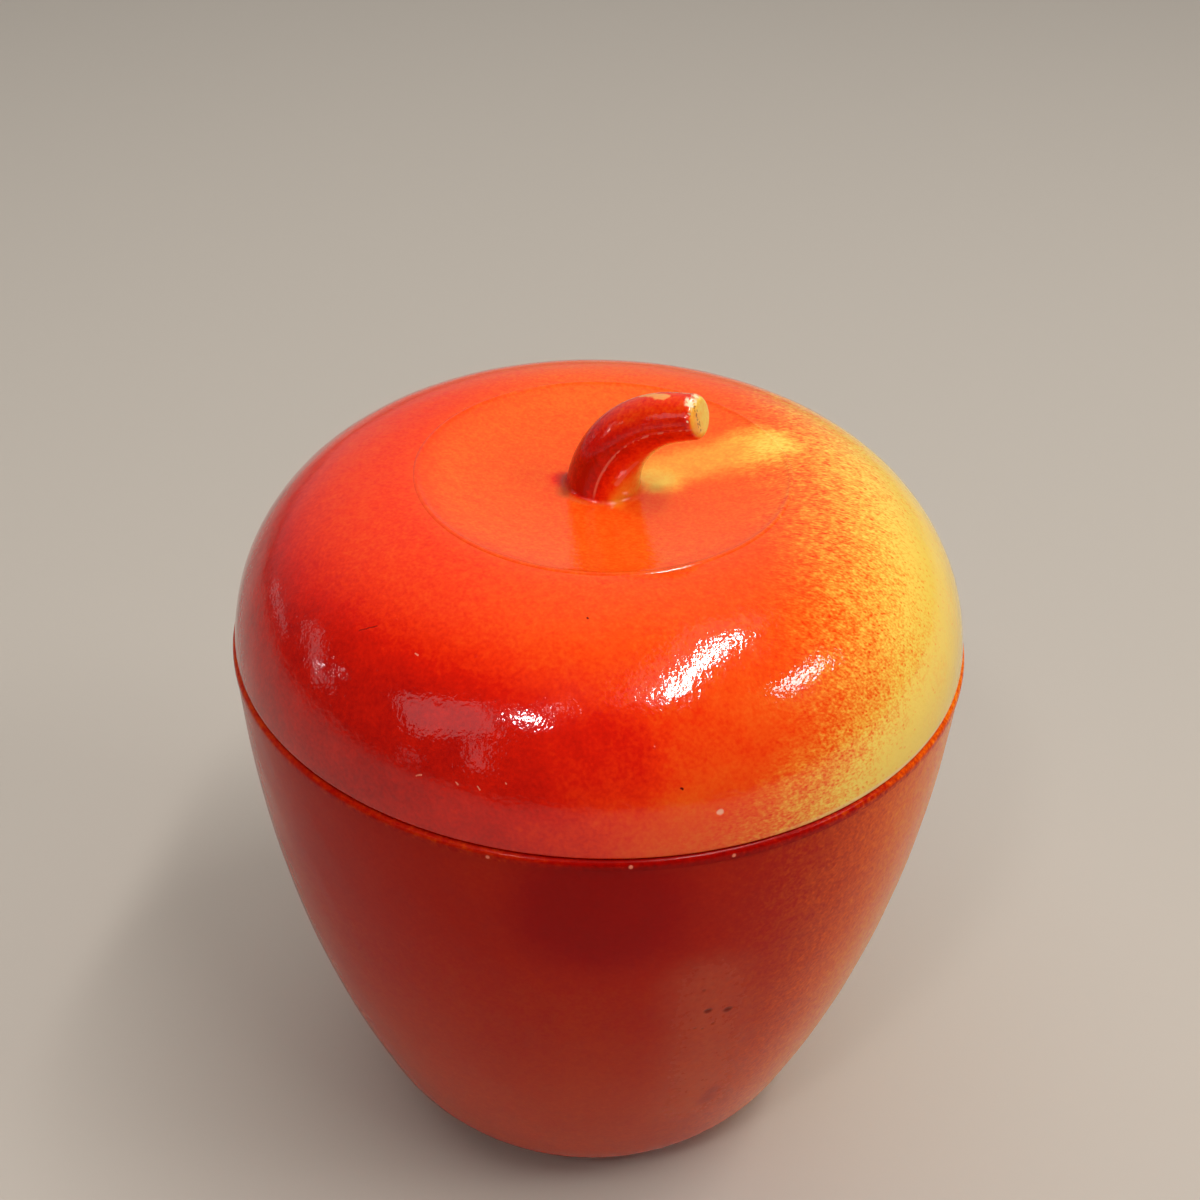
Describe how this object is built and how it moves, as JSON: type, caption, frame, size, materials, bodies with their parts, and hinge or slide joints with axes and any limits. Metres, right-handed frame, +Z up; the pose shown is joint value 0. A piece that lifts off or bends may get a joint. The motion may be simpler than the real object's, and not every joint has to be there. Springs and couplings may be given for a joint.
{
  "type": "apple-shaped jam jar",
  "caption": "Squat round jam jar in the shape of an apple, with a domed lid that sits on the rim and a hooked stem as its handle.",
  "frame": {"origin": "middle of the base, on the surface that the jar stands on", "axes": "+Z up along the jar's axis; the stem bends over towards +X"},
  "size_m": [0.0866, 0.0866, 0.1045],
  "materials": {
    "jar_paint": "glossy airbrushed paint over white glass, dark red at the front, orange brown to ochre at the sides",
    "lid_paint": "glossy airbrushed paint over white glass, orange red with a sprayed fade to yellow on one side"
  },
  "bodies": {
    "root": {"jar": "jar_paint", "lid": "lid_paint"}
  },
  "joints": []
}
